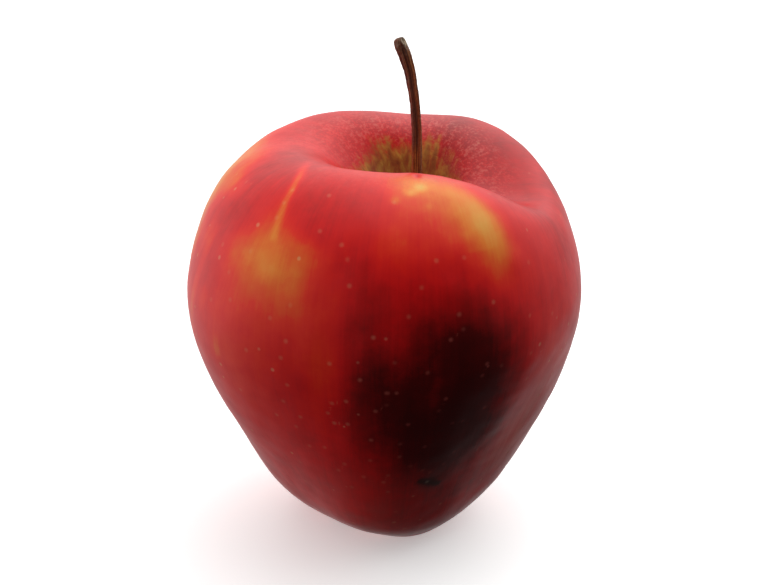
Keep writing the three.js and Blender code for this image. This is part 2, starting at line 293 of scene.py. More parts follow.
# the greenish yellow crescent on the right, sharp outside and fading to orange inside
d, t = band([(0.782, -80), (0.776, -73), (0.762, -64.5), (0.735, -58), (0.707, -55.5), (0.681, -54.5), (0.652, -56)])
core = spot_at(0.700, -73)
outer = np.linalg.norm(spot_at(0.735, -58) - core)
wide = 3.1 + 2.3 * ramp(np.linalg.norm(SKIN - core, axis=-1), outer * 1.08, outer * 0.92)
moon = np.exp(-((d / wide) ** 2)) * np.interp(t, [0, 0.16, 0.4, 0.6, 0.8, 1], [0.30, 0.50, 0.74, 1.02, 0.76, 0.32])
glow = dab(0.745, -72, 9.0)
red = red - (0.365 + 0.015 * soft) * moon - 0.088 * glow
for u, p, size, much in ((0.778, -78.5, 1.3, 0.20), (0.768, -82.5, 1.0, 0.18), (0.756, -88.5, 0.9, 0.14), (0.746, -76, 0.8, 0.05)):
    red = red - much * dab(u, p, size)

# painted highlight: the rim of the cavity paler on the near side
red = red - 0.12 * np.exp(-(((PLACE - 0.797) / 0.026) ** 2)) * np.exp(-((turn(-80) / 30) ** 2))

# bands of more and less red that run down the front
red = red - 0.060 * stripe(-88, 6.0, 0.57, 0.80) + 0.030 * stripe(-99, 4.5, 0.52, 0.74) - 0.050 * stripe(-107, 6.0, 0.40, 0.60)
red = red + 0.105 * stripe(-92, 5.0, 0.48, 0.66) - 0.040 * stripe(-104, 4.0, 0.46, 0.58)
red = red + 0.020 * stripe(-118, 4.0, 0.34, 0.50) - 0.030 * stripe(-136, 9.0, 0.42, 0.60)

# the dark side: deep maroon low on the right of the front, darkened almost to black by painted shade, with more of both
# lower down the front
maroon_and_shade = 1 - (1 - 0.86 * dab(0.520, -66, 9.0)) * (1 - 0.80 * dab(0.465, -69, 10.0)) * (1 - 0.45 * dab(0.570, -66, 7.0)) * (
    1 - 0.60 * dab(0.425, -72, 9.5)) * (1 - 0.32 * dab(0.480, -86, 8.5)) * (1 - 0.50 * dab(0.38, -66, 9.0)) * (
    1 - 0.15 * dab(0.575, -74, 7.0))
maroon_and_shade = np.clip(maroon_and_shade * (1 + 0.025 * streak + 0.02 * soft), 0, 1)
red = red + 0.32 * maroon_and_shade + 0.075 * dab(0.45, -97, 11.0) + 0.085 * dab(0.31, -84, 14.0) + 0.10 * dab(0.27, -62, 8.0) + 0.045 * dab(0.60, -80, 7.0)
d, t = band([(0.327, -77.2), (0.318, -73.6), (0.306, -69.6)])
bruise = np.exp(-((d / (0.62 + 0.42 * np.exp(-(((t - 0.5) / 0.3) ** 2)))) ** 2))
red = red + 0.12 * bruise

# the far shoulder is a deeper red; the back, in its own leaf's shade, stayed partly yellow
red = red + 0.055 * np.exp(-((turn(14) / 42) ** 2)) * ramp(PLACE, 0.56, 0.70) + 0.025 * np.exp(-((turn(-150) / 22) ** 2)) * ramp(PLACE, 0.45, 0.6)
red = red + 0.03 * np.exp(-((turn(-165) / 30) ** 2)) * ramp(PLACE, 0.74, 0.79)
rise = (PLACE - 0.660) * 129.6
reach = np.sqrt((turn(170) * 0.56 / 17.0) ** 2 + (rise / 21.0) ** 2) * (1 + 0.11 * soft + 0.09 * slow + 0.10 * streak)
red = red - (0.33 + 0.03 * streak + 0.035 * slow + 0.02 * soft) * ramp(reach, 1.30, 0.25) * ramp(PLACE, 0.790, 0.735)
reach = np.sqrt((turn(95) * 0.6 / 9.0) ** 2 + ((PLACE - 0.50) * 129.6 / 26.0) ** 2) * (1 + 0.08 * soft + 0.10 * streak)
red = red - 0.13 * ramp(reach, 1.2, 0.3)
red = red - 0.055 * dab(0.655, -47, 7.0) - 0.050 * dab(0.50, -134, 18.0) - 0.095 * dab(0.49, -36, 8.5) + 0.070 * dab(0.775, -28, 9.0) + 0.050 * dab(0.735, -105, 7.0) - 0.030 * dab(0.700, -94, 5.0) + 0.060 * dab(0.815, 60, 11.0) + 0.050 * dab(0.800, 120, 9.0)
# the near edge of that yellow, along the left shoulder
d, t = band([(0.800, 168), (0.782, 171), (0.754, -172), (0.737, -169.5), (0.719, -166), (0.701, -163.5)])
red = red - 0.085 * np.exp(-((d / (2.9 + 0.3 * soft)) ** 2)) * ramp(t, 1.05, 0.70) * ramp(t, -0.1, 0.25)
# the skin pales and turns yellow green down by the calyx
red = red - (0.30 + 0.05 * streak) * ramp(PLACE, 0.150, 0.055)

# russet and olive in the cavity, in rays of uneven length, with a dusty mottle above them
depth = PLACE - 0.0055 * streak - 0.0055 * soft
start = np.interp(turn(0), [-180, -90, 0, 30, 60, 100, 125, 145, 180], [0.858, 0.850, 0.850, 0.848, 0.832, 0.834, 0.850, 0.860, 0.858])
russet = ramp(depth - start, -0.008, 0.050)
dusty = ramp(depth, 0.740, 0.815) * (1 - russet) * (0.25 + 0.75 * np.exp(-((turn(65) / 80) ** 2)))
red = np.clip(red + 0.20 * nick, 0.02, 1.0)

# small pores: many over the lower half, few above
# a pale wax bloom over the lower part, thickened by painted reflection on the front and low on its left
bloom_and_sheen = ramp(PLACE, 0.40, 0.25) * (0.18 + 0.62 * np.exp(-((turn(-96) / 22) ** 2))) + 0.10 * dab(0.36, -120, 9.0)
# painted sheen over the shoulders, most on the front, and a painted highlight along the near rim of the cavity
bloom_and_sheen = bloom_and_sheen + ramp(PLACE, 0.70, 0.76) * ramp(PLACE, 0.86, 0.82) * (0.10 + 0.12 * np.exp(-((turn(-85) / 45) ** 2)))
bloom_and_sheen = bloom_and_sheen + 0.35 * np.exp(-(((PLACE - 0.800) / 0.016) ** 2)) * np.exp(-((turn(-85) / 40) ** 2))
# painted highlight: a paler flank low on the right of the front, standing in for a reflection of the surround
d, t = band([(0.46, -29), (0.42, -32), (0.383, -35), (0.34, -35), (0.30, -35), (0.262, -40)])
painted_flank_highlight = np.exp(-((d / (4.6 + 1.2 * t + 0.5 * soft)) ** 2)) * ramp(t, -0.2, 0.40) * ramp(t, 1.15, 0.65)
bloom_and_sheen = np.clip(bloom_and_sheen * (1 + 0.10 * soft), 0, 1)
pores = 0.30 + 0.70 * ramp(PLACE, 0.66, 0.50) - 0.25 * ramp(PLACE, 0.80, 0.86)
PORES = [  # place, turn and strength of the pores on the front
    (0.3200, -74.4, 0.75),
    (0.485, -73.0, 0.81), (0.447, -83.0, 0.81), (0.575, -72.5, 0.81), (0.501, -86.5, 0.81),
    (0.519, -96.0, 0.81), (0.531, -62.0, 0.81), (0.581, -92.5, 0.79), (0.501, -89.0, 0.78),
    (0.471, -92.0, 0.77), (0.443, -104.0, 0.67), (0.615, -59.5, 0.65), (0.483, -100.0, 0.65),
    (0.421, -93.5, 0.65), (0.445, -100.0, 0.62), (0.531, -78.5, 0.61), (0.751, -114.0, 0.59),
    (0.607, -70.0, 0.58), (0.513, -63.0, 0.57), (0.647, -99.5, 0.56), (0.539, -104.0, 0.53),
    (0.707, -111.5, 0.53), (0.441, -114.5, 0.53), (0.495, -116.5, 0.52), (0.389, -85.0, 0.52),
    (0.563, -116.0, 0.52), (0.695, -103.5, 0.51), (0.401, -77.5, 0.51), (0.477, -104.0, 0.50),
    (0.339, -90.0, 0.50), (0.459, -105.5, 0.50), (0.431, -123.0, 0.50), (0.463, -119.0, 0.48),
    (0.537, -117.5, 0.48), (0.413, -85.0, 0.47), (0.447, -59.0, 0.45), (0.317, -88.5, 0.45),
    (0.677, -75.5, 0.44), (0.537, -128.0, 0.43), (0.353, -105.0, 0.42), (0.587, -69.0, 0.42),
    (0.341, -74.0, 0.42), (0.435, -69.5, 0.41), (0.339, -121.0, 0.41), (0.730, -129.5, 0.41),
    (0.609, -83.5, 0.41), (0.477, -44.5, 0.41), (0.465, -74.5, 0.41), (0.419, -117.0, 0.40),
    (0.765, -47.0, 0.40), (0.591, -121.0, 0.40), (0.387, -114.0, 0.40), (0.349, -96.5, 0.39),
    (0.393, -108.5, 0.39), (0.748, -130.0, 0.39), (0.657, -146.5, 0.39), (0.289, -123.5, 0.39),
    (0.753, -89.0, 0.38), (0.734, -158.0, 0.38), (0.581, -47.0, 0.38), (0.521, -57.0, 0.38),
    (0.459, -134.0, 0.38), (0.351, -54.5, 0.38), (0.383, -94.0, 0.38), (0.369, -102.5, 0.38),
    (0.433, -66.0, 0.36), (0.711, -129.0, 0.36), (0.792, -129.5, 0.36), (0.613, -115.5, 0.36),
    (0.323, -101.0, 0.36), (0.751, -1.0, 0.35), (0.645, -80.0, 0.35), (0.587, -143.0, 0.35),
    (0.565, -36.0, 0.35), (0.353, -88.5, 0.35), (0.631, -138.5, 0.34), (0.547, -87.0, 0.34),
    (0.349, -69.0, 0.34), (0.599, -135.0, 0.34), (0.369, -66.0, 0.34), (0.351, -77.0, 0.33),
    (0.753, -44.0, 0.33), (0.481, -89.0, 0.33), (0.651, -44.0, 0.33), (0.679, -101.0, 0.32),
    (0.665, -133.0, 0.32), (0.677, -67.0, 0.32), (0.523, -46.0, 0.32), (0.367, -81.5, 0.32),
    (0.265, -85.5, 0.32),]
pore_at = np.tile(np.array([0.0, 0.0, 40.0]), PLACE.shape + (1,))
pore_near = np.full(PLACE.shape, 1.4)
pore_next = np.full(PLACE.shape, 9.0)
pore_size = np.zeros(PLACE.shape)
for u, p, strength in PORES:
    # the place on the finished skin, swells included
    away = ((SKIN - spot_at(u, p)) ** 2).sum(-1)
    at = spot_at(u, p) + SKIN_N.reshape(-1, 3)[away.argmin()] * (((SKIN.reshape(-1, 3)[away.argmin()] - spot_at(u, p)) * SKIN_N.reshape(-1, 3)[away.argmin()]).sum())
    d = np.sqrt(((SKIN - at) ** 2).sum(-1))
    pore_at = np.where((d < pore_near)[..., None], at, pore_at)
    pore_size = np.where(d < pore_near, strength, pore_size)
    pore_next = np.where(d < pore_near, np.minimum(pore_near + 9 * (pore_near >= 1.4), pore_next), np.minimum(pore_next, d))
    pore_near = np.minimum(pore_near, d)
# the nearest pore changes halfway between two of them: neither shows there
pore_size = pore_size * ramp(pore_next - pore_near, 0.25, 0.85) * ramp(pore_near, 1.35, 1.0)
pores = pores * (1 - 0.80 * ramp(np.abs(turn(-90)), 62, 48) * ramp(PLACE, 0.24, 0.30))
top_field = {"red": red, "russet": russet, "dusty": dusty, "bloom_and_sheen": bloom_and_sheen, "painted_flank_highlight": painted_flank_highlight, "pores": pores, "bruise": bruise, "pore_size": pore_size}
for key, grid in top_field.items():
    field(fruit, key, grid, grid[0].mean(), grid[-1].mean())
flow = np.stack([np.cos(PHI)[None, :] + 0 * PLACE, np.sin(PHI)[None, :] + 0 * PLACE, PLACE], -1).reshape(-1, 3)
layer = fruit.data.attributes.new("flow", "FLOAT_VECTOR", "POINT")
layer.data.foreach_set("vector", np.concatenate([[[1, 0, 0]], flow, [[1, 0, 1]]]).astype(np.float32).ravel())

layer = fruit.data.attributes.new("pore_at", "FLOAT_VECTOR", "POINT")
layer.data.foreach_set("vector", np.concatenate([[[0, 0, 40]], pore_at.reshape(-1, 3), [[0, 0, 40]]]).astype(np.float32).ravel() * MM)

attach(fruit, "root")
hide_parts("fruit")

# ------------------------------------------------------------------------------------------------------------------
# The stalk
# ------------------------------------------------------------------------------------------------------------------
STEM_PATH = np.array([
    [4.9, 0.4, 55.4], [4.93, 0.4, 57.15], [5.12, 0.38, 59.2], [5.34, 0.38, 62.2], [5.46, 0.4, 65.8],
    [5.48, 0.4, 69.35], [5.46, 0.4, 72.77], [5.41, 0.4, 76.54], [5.19, 0.4, 79.9], [4.87, 0.4, 82.86],
    [4.51, 0.4, 85.06], [4.14, 0.4, 87.25], [3.84, 0.4, 88.33], [3.48, 0.4, 89.42], [3.22, 0.4, 90.32],
    [2.93, 0.4, 91.04], [2.70, 0.4, 91.86], [2.48, 0.4, 92.8], [2.36, 0.4, 93.5]])
STEM_RADIUS = np.array([
    1.75, 1.3, 1.08, 0.99, 0.92, 0.89, 0.87, 0.85, 0.85, 0.87,
    0.92, 0.98, 1.03, 1.07, 1.11, 1.17, 1.23, 1.22, 1.05])


def tube_frames(path):
    """Tangent and two across vectors for each point of a path that stays near one vertical plane."""
    t = np.gradient(path, axis=0)
    t /= np.linalg.norm(t, axis=1, keepdims=True)
    side = np.cross([0.0, 1.0, 0.0], t)
    side /= np.linalg.norm(side, axis=1, keepdims=True)
    return t, side, np.cross(t, side)


def make_stem():
    steps, sides = 210, 72
    chord = np.concatenate([[0], np.cumsum(np.linalg.norm(np.diff(STEM_PATH, axis=0), axis=1))])
    chord /= chord[-1]
    s = np.linspace(0, 1, steps) ** 0.92
    path = spline(chord, STEM_PATH, s) + [SHIFT[0], SHIFT[1], 0]
    radius = np.interp(s, chord, STEM_RADIUS)
    radius = np.convolve(np.pad(radius, 6, mode="edge"), np.hanning(15)[1:-1] / np.hanning(15).sum(), "valid")
    # the round end of the knob
    left = (1 - s) * np.linalg.norm(np.diff(path, axis=0), axis=1).sum()
    radius *= np.sqrt(np.clip(1 - (1 - np.clip(left / 0.75, 0, 1)) ** 2.4, 0.0, 1))
    t, side, across = tube_frames(path)
    a = 2 * math.pi * np.arange(sides) / sides
    height = path[:, 2:3]
    twist = 0.035 * (height - 60)
    # lengthwise ribs of dried bark, a little twisted, with fine fibres
    ribs = 0.030 * np.cos(5 * (a - twist) + 0.7) + 0.022 * np.cos(8 * (a - 1.3 * twist) + 0.15 * height)
    ribs = ribs + 0.012 * np.cos(17 * (a - twist) + 1.1 * np.sin(0.5 * height))
    shaft = ramp(left, 0.3, 2.5)[:, None]
    knob = 1 - ramp(left, 1.0, 5.0)[:, None]
    lumps = knob * (0.045 * np.cos(3 * a + 0.9 * height) + 0.03 * np.cos(6 * a - 1.7 * height))
    r = radius[:, None] * (1 + 0.035 * np.cos(2 * a + 0.4) + ribs * (0.4 + 0.6 * shaft) + lumps)
    pts = path[:, None, :] + side[:, None, :] * (r * np.cos(a))[..., None] + across[:, None, :] * (r * np.sin(a))[..., None]
    pts = pts + 0.018 * waves(pts, 40, 0.5, 1.6, 5)[..., None] * (side[:, None, :] * np.cos(a)[:, None] + across[:, None, :] * np.sin(a)[:, None])
    # the scar where the stalk let go of the twig: a slanting facet with a raised rim
    centre = np.array([2.58, 0.4, 92.45]) + [SHIFT[0], SHIFT[1], 0]
    face = np.array([0.80, -0.30, 0.52])
    face /= np.linalg.norm(face)
    depth = (pts - centre) @ face
    out = np.linalg.norm((pts - centre) - depth[..., None] * face, axis=-1)
    jag = 0.09 * waves(pts, 24, 0.5, 1.3, 6)
    out = out + jag
    cut = 0.56 + 0.07 * np.exp(-(((out - 0.72) / 0.16) ** 2)) - 0.12 * np.exp(-((out / 0.40) ** 2)) + 0.35 * jag
    over = np.maximum(depth - cut, 0)
    pts = pts - face * (over * 0.92)[..., None]
    scar = ramp(over, 0.0, 0.10) * ramp(out, 1.0, 0.8)
    ob = closed_grid("apple_stem", pts, pts[0].mean(0), pts[-1].mean(0) + [0, 0, 0.02])
    field(ob, "scar", scar, 0, scar[-1].mean())
    field(ob, "scar_out", np.minimum(out, 3.0), 3, out[-1].mean())
    field(ob, "knob", knob + 0 * a, 0, 1)
    field(ob, "up", (height - 57) / 36 + 0 * a, 0, 1)
    field(ob, "round", np.cos(a) + 0 * height, 0, 0)
    flow = ob.data.attributes.new("flow", "FLOAT_VECTOR", "POINT")
    grid = np.stack([3.2 * np.cos(a - twist), 3.2 * np.sin(a - twist), 0.16 * height + 0 * a], -1).reshape(-1, 3)
    flow.data.foreach_set("vector", np.concatenate([grid[:1], grid, grid[-1:]]).astype(np.float32).ravel())
    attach(ob, "root")
    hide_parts("stem")
    return ob


stem = make_stem()

# ------------------------------------------------------------------------------------------------------------------
# The calyx
# ------------------------------------------------------------------------------------------------------------------
EYE = np.array([0.41, 0.17]) + SHIFT
SEPAL_LINE = np.array([
    [3.3, 5.95, 1.1, 0.28], [3.0, 5.45, 1.35, 0.31], [2.7, 4.75, 1.42, 0.3], [2.5, 3.95, 1.32, 0.27],
    [2.55, 3.15, 1.12, 0.24], [2.9, 2.45, 0.88, 0.21], [3.6, 1.95, 0.6, 0.18], [4.45, 1.75, 0.3, 0.15]])
SEPAL_HABIT = [[0, 0, 0], [0.4, -0.35, 3], [-0.3, 0.3, -3], [0.3, 0.1, 2], [-0.15, -0.15, -2]]


def make_sepal(index):
    curl, drop, lean = SEPAL_HABIT[index]
    turn = math.radians(-44) + 2 * math.pi * index / 5
    radial = np.array([math.cos(turn), math.sin(turn), 0])
    sideways = np.array([-math.sin(turn), math.cos(turn), 0])
    rng = np.random.default_rng(40 + index)
    steps, sides = 46, 36
    s = np.linspace(0, 1, steps)
    line = spline(np.linspace(0, 1, len(SEPAL_LINE)), SEPAL_LINE, s)
    r, z, half, thick = line.T
    # the leaf grows out of the roof of the basin, so its base reaches into the flesh
    root = np.clip(1 - s / 0.10, 0, 1)
    r, z = r + curl * s**2 + 0.25 * root, z - drop * s + 0.75 * root
    w = math.tan(math.radians(lean)) * (5.95 - z)
    mid = radial * r[:, None] + sideways * w[:, None] + np.array([0, 0, 1]) * z[:, None]
    t = np.gradient(mid, axis=0)
    t /= np.linalg.norm(t, axis=1, keepdims=True)
    out = np.cross(t, sideways)
    out /= np.linalg.norm(out, axis=1, keepdims=True)
    if out[20] @ radial < 0:
        out = -out
    a = 2 * math.pi * np.arange(sides) / sides
    x = np.sign(np.cos(a)) * np.abs(np.cos(a)) ** 0.9
    edge = 1 + 0.06 * np.sin(9 * s + index)[:, None] * np.sign(x) + 0.05 * np.sin(23 * s + 2 * index)[:, None]
    across = half[:, None] * x * edge
    share = across / half[:, None]
    fold = -0.20 * half[:, None] * share**2 + 0.05 * np.cos(3.2 * math.pi * share + index) * half[:, None]
    fold = fold + 0.05 * np.sin(14 * s[:, None] + 3 * share + index)
    body = (0.55 * thick[:, None]) * np.sin(a) * (1 - 0.55 * share**2) + 0.02 * np.cos(9 * math.pi * share)
    body = body + 0.05 * np.exp(-((share / 0.16) ** 2)) * np.sin(a)  # the midrib
    pts = mid[:, None, :] + sideways * across[..., None] + out[:, None, :] * (fold + body)[..., None]
    pts = pts + [EYE[0], EYE[1], 0]
    tip = pts[-1].mean(0) + t[-1] * 0.16
    ob = closed_grid(f"apple_sepal_{index + 1}", pts, pts[0].mean(0), tip)
    field(ob, "along", s[:, None] + 0 * a, 0, 1)
    field(ob, "share", share, 0, 0)
    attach(ob, "root")
    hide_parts(f"sepal_{index + 1}")
    return ob


sepals = [make_sepal(i) for i in range(5)]


def tube(path, radius, sides):
    """Rings of a thin round tube along a path."""
    t = np.gradient(path, axis=0)
    t /= np.linalg.norm(t, axis=1, keepdims=True)
    side = np.cross(t, [0.31, 0.95, 0.05])
    side /= np.linalg.norm(side, axis=1, keepdims=True)
    across = np.cross(t, side)
    a = 2 * math.pi * np.arange(sides) / sides
    return path[:, None, :] + radius[:, None, None] * (side[:, None, :] * np.cos(a)[:, None] + across[:, None, :] * np.sin(a)[:, None])


def make_stamens():
    """A withered bundle: a short ragged plug with dry filaments and shrunken anthers leaning out of it."""
    rng = np.random.default_rng(7)
    verts, faces = [], []

    def add(rings):
        base = sum(len(v) for v in verts)
        count, sides = rings.shape[:2]
        verts.append(np.concatenate([[rings[0].mean(0)], rings.reshape(-1, 3), [rings[-1].mean(0)]]))
        at = base + 1 + np.arange(count * sides).reshape(count, sides)
        nxt = np.roll(at, -1, 1)
        faces.extend(np.stack([at[:-1], at[1:], nxt[1:], nxt[:-1]], -1).reshape(-1, 4).tolist())
        faces.extend(np.stack([np.full(sides, base), at[0], nxt[0]], -1).tolist())
        faces.extend(np.stack([np.full(sides, base + count * sides + 1), nxt[-1], at[-1]], -1).tolist())

    s = np.linspace(0, 1, 14)
    a = 2 * math.pi * np.arange(40) / 40
    plug_r = np.interp(s, [0, 0.2, 0.6, 1], [1.25, 1.15, 0.85, 0.45])[:, None] * (1 + 0.10 * np.cos(10 * a) + 0.05 * np.cos(7 * a + 1))
    plug_z = 7.4 - 3.0 * s
    add(np.stack([plug_r * np.cos(a), plug_r * np.sin(a), plug_z[:, None] + 0 * a], -1))
    for k in range(20):
        turn = 2 * math.pi * (k + rng.uniform(-0.3, 0.3)) / 20
        start = rng.uniform(0.35, 0.95)
        end = start + rng.uniform(-0.25, 0.65)
        length = rng.uniform(1.6, 3.1)
        q = np.linspace(0, 1, 12)
        bend = rng.uniform(-0.5, 0.5)
        rr = start + (end - start) * q**1.5
        th = turn + bend * q**2
        path = np.stack([rr * np.cos(th), rr * np.sin(th), 5.6 - length * q], -1)
        rad = np.interp(q, [0, 0.75, 0.82, 0.93, 1.0], [0.09, 0.065, 0.13, 0.16, 0.06])
        add(tube(path, rad, 10))
    me = bpy.data.meshes.new("apple_stamens")
    pts = (np.concatenate(verts) + [EYE[0], EYE[1], 0]) * MM
    me.from_pydata(pts.tolist(), [], faces)
    me.validate()
    me.shade_smooth()
    ob = bpy.data.objects.new("apple_stamens", me)
    collection.objects.link(ob)
    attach(ob, "root")
    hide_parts("stamens")
    return ob


stamens = make_stamens()

# ------------------------------------------------------------------------------------------------------------------
# Materials
# ------------------------------------------------------------------------------------------------------------------


class Nodes:
    """Short names for building a node material."""

    def __init__(self, name):
        self.material = bpy.data.materials.new(name)
        self.material.use_nodes = True
        self.tree = self.material.node_tree
        self.shader = self.tree.nodes["Principled BSDF"]

    def put(self, socket, value):
        if isinstance(value, bpy.types.NodeSocket):
            self.tree.links.new(value, socket)
        else:
            socket.default_value = value

    def attribute(self, name, output="Fac"):
        n = self.tree.nodes.new("ShaderNodeAttribute")
        n.attribute_name = name
        return n.outputs[output]

    def object_place(self):
        return self.tree.nodes.new("ShaderNodeTexCoord").outputs["Object"]

    def math(self, operation, a, b=0.0, c=0.0, clamp=False):
        n = self.tree.nodes.new("ShaderNodeMath")
        n.operation, n.use_clamp = operation, clamp
        for i, v in enumerate((a, b, c)):
            self.put(n.inputs[i], v)
        return n.outputs[0]

    def scale(self, vector, factors):
        n = self.tree.nodes.new("ShaderNodeVectorMath")
        n.operation = "MULTIPLY"
        self.put(n.inputs[0], vector)
        n.inputs[1].default_value = factors
        return n.outputs[0]

    def noise(self, vector, scale, detail=2.0, rough=0.5, warp=0.0):
        n = self.tree.nodes.new("ShaderNodeTexNoise")
        self.put(n.inputs["Vector"], vector)
        n.inputs["Scale"].default_value = scale
        n.inputs["Detail"].default_value = detail
        n.inputs["Roughness"].default_value = rough
        n.inputs["Distortion"].default_value = warp
        return n.outputs["Fac"]

    def cells(self, vector, scale, output="Distance", spread=1.0):
        n = self.tree.nodes.new("ShaderNodeTexVoronoi")
        self.put(n.inputs["Vector"], vector)
        n.inputs["Scale"].default_value = scale
        n.inputs["Randomness"].default_value = spread
        return n.outputs[output]

    def between(self, value, low, high, to_low=0.0, to_high=1.0, smooth=True):
        n = self.tree.nodes.new("ShaderNodeMapRange")
        n.interpolation_type = "SMOOTHSTEP" if smooth else "LINEAR"
        self.put(n.inputs["Value"], value)
        for name, v in (("From Min", low), ("From Max", high), ("To Min", to_low), ("To Max", to_high)):
            self.put(n.inputs[name], v)
        return n.outputs["Result"]

    def colours(self, value, stops):
        n = self.tree.nodes.new("ShaderNodeValToRGB")
        self.put(n.inputs["Fac"], value)
        e = n.color_ramp.elements
        e[0].position, e[0].color = stops[0][0], (*stops[0][1], 1)
        e[1].position, e[1].color = stops[-1][0], (*stops[-1][1], 1)
        for at, colour in stops[1:-1]:
            k = e.new(at)
            k.color = (*colour, 1)
        return n.outputs["Color"]

    def mix(self, share, a, b, kind="MIX"):
        n = self.tree.nodes.new("ShaderNodeMix")
        n.data_type, n.blend_type = "RGBA", kind
        self.put(n.inputs[0], share)
        for socket, v in ((n.inputs[6], a), (n.inputs[7], b)):
            self.put(socket, v if isinstance(v, bpy.types.NodeSocket) else (*v, 1))
        return n.outputs[2]

    def bump(self, height, distance, strength=1.0, base=None):
        n = self.tree.nodes.new("ShaderNodeBump")
        n.inputs["Strength"].default_value = strength
        n.inputs["Distance"].default_value = distance
        self.put(n.inputs["Height"], height)
        if base is not None:
            self.put(n.inputs["Normal"], base)
        return n.outputs[0]

    def finish(self, *pieces, **values):
        for key, v in values.items():
            self.put(self.shader.inputs[key.replace("_", " ")], v)
        for piece in pieces:
            piece.data.materials.clear()
            piece.data.materials.append(self.material)


def skin_material():
    n = Nodes("apple_skin")
    where = n.object_place()
    flow_way = n.attribute("flow", "Vector")
    red = n.attribute("red")
    russet = n.attribute("russet")
    # streaks along the skin, coarse and fine, and a fine mottle
    coarse = n.noise(n.scale(flow_way, (20.0, 20.0, 5.0)), 1.0, 3.0, 0.55, 0.3)
    fine = n.noise(n.scale(flow_way, (64.0, 64.0, 13.0)), 1.0, 2.0, 0.6, 0.2)
    mottle = n.noise(where, 520.0, 3.0, 0.6)
    blotch = n.noise(where, 150.0, 3.0, 0.6)
    shift = n.math("MULTIPLY_ADD", n.math("SUBTRACT", coarse, 0.5), 0.050, red)
    shift = n.math("MULTIPLY_ADD", n.math("SUBTRACT", fine, 0.5), 0.060, shift)
    shift = n.math("MULTIPLY_ADD", n.math("SUBTRACT", mottle, 0.5), 0.085, shift)
    shift = n.math("MULTIPLY_ADD", n.math("SUBTRACT", blotch, 0.5), 0.100, shift)
    # the ramp runs from yellow through red to near-black maroon; its darkest stops also carry painted shade
    skin_colour = n.colours(shift, [
        (0.00, (0.62, 0.56, 0.14)), (0.14, (0.80, 0.52, 0.12)), (0.28, (0.88, 0.36, 0.055)), (0.38, (0.88, 0.22, 0.020)),
        (0.48, (0.85, 0.100, 0.010)), (0.57, (0.85, 0.026, 0.007)), (0.63, (0.80, 0.011, 0.007)), (0.69, (0.71, 0.007, 0.008)),
        (0.77, (0.50, 0.005, 0.006)), (0.85, (0.26, 0.0035, 0.004)), (0.93, (0.10, 0.0022, 0.0022)),
        (1.00, (0.066, 0.0022, 0.0018))])
    # russet and olive down the cavity
    rays = n.noise(n.scale(flow_way, (7.0, 7.0, 55.0)), 1.0, 5.0, 0.66, 0.6)
    cork = n.colours(rays, [
        (0.26, (0.24, 0.050, 0.012)), (0.42, (0.38, 0.092, 0.018)), (0.52, (0.45, 0.150, 0.024)),
        (0.62, (0.50, 0.215, 0.032)), (0.76, (0.62, 0.33, 0.06))])
    speckle = n.noise(where, 900.0, 3.0, 0.65)
    grit = n.noise(where, 1900.0, 2.0, 0.7)
    dusty = n.attribute("dusty")
    shade = n.math("MULTIPLY_ADD", n.math("SUBTRACT", speckle, 0.5), 0.8, n.math("MULTIPLY_ADD", n.math("SUBTRACT", fine, 0.5), 0.5, grit))
    skin_colour = n.mix(n.math("MULTIPLY", dusty, n.between(shade, 0.54, 0.32, 0.03, 0.50)), skin_colour, (0.24, 0.006, 0.012))
    skin_colour = n.mix(n.math("MULTIPLY", dusty, n.between(shade, 0.46, 0.76, 0.02, 0.44)), skin_colour, (0.66, 0.190, 0.150))
    # wax bloom and painted sheen: the skin paled towards pink
    skin_colour = n.mix(n.math("MULTIPLY", n.attribute("bloom_and_sheen"), n.between(blotch, 0.30, 0.70, 0.20, 0.34)), skin_colour, (0.44, 0.140, 0.120))
    # painted highlight: the low right flank paled towards pink
    skin_colour = n.mix(n.math("MULTIPLY", n.attribute("painted_flank_highlight"), n.between(coarse, 0.30, 0.70, 0.33, 0.60)), skin_colour, (0.88, 0.22, 0.18))
    ragged = n.math("MULTIPLY_ADD", n.math("SUBTRACT", fine, 0.5), 0.35, n.math(
        "MULTIPLY_ADD", n.math("SUBTRACT", speckle, 0.5), 1.0, n.math("MULTIPLY", n.math("SUBTRACT", rays, 0.5), 0.75)))
    edge = n.math("MULTIPLY_ADD", ragged, n.between(russet, 0.0, 0.22), russet)
    # painted shade: the cork darkened deepest down the cavity
    cork = n.mix(n.between(russet, 0.75, 1.0, 0.0, 0.6), cork, n.mix(1.0, cork, (0.55, 0.50, 0.5), "MULTIPLY"))
    colour = n.mix(n.between(edge, 0.08, 0.92), skin_colour, cork)
    # pores: small pale dots, in cells of about 2.4 mm, some left out
    cell_away = n.cells(where, 416.0)
    cell_pick = n.tree.nodes.new("ShaderNodeSeparateColor")
    n.put(cell_pick.inputs[0], n.cells(where, 416.0, "Color"))
    size = n.between(cell_pick.outputs[1], 0.0, 1.0, 0.10, 0.19, smooth=False)
    dot = n.between(n.math("DIVIDE", cell_away, size), 1.25, 0.45)
    kept = n.math("LESS_THAN", cell_pick.outputs[0], n.math("MULTIPLY", n.attribute("pores"), 0.62))
    dot = n.math("MULTIPLY", dot, kept)
    gap = n.tree.nodes.new("ShaderNodeVectorMath")
    gap.operation = "DISTANCE"
    n.put(gap.inputs[0], where)
    n.put(gap.inputs[1], n.attribute("pore_at", "Vector"))
    gap = n.math("MULTIPLY_ADD", n.math("SUBTRACT", speckle, 0.5), 0.00025, gap.outputs["Value"])
    dot = n.math("MAXIMUM", dot, n.math("MULTIPLY", n.between(gap, 0.00062, 0.00006), n.attribute("pore_size")))
    pale = n.colours(shift, [
        (0.15, (0.62, 0.46, 0.13)), (0.40, (0.80, 0.42, 0.14)), (0.62, (0.80, 0.26, 0.14)), (0.80, (0.60, 0.15, 0.10)),
        (1.00, (0.36, 0.055, 0.05))])
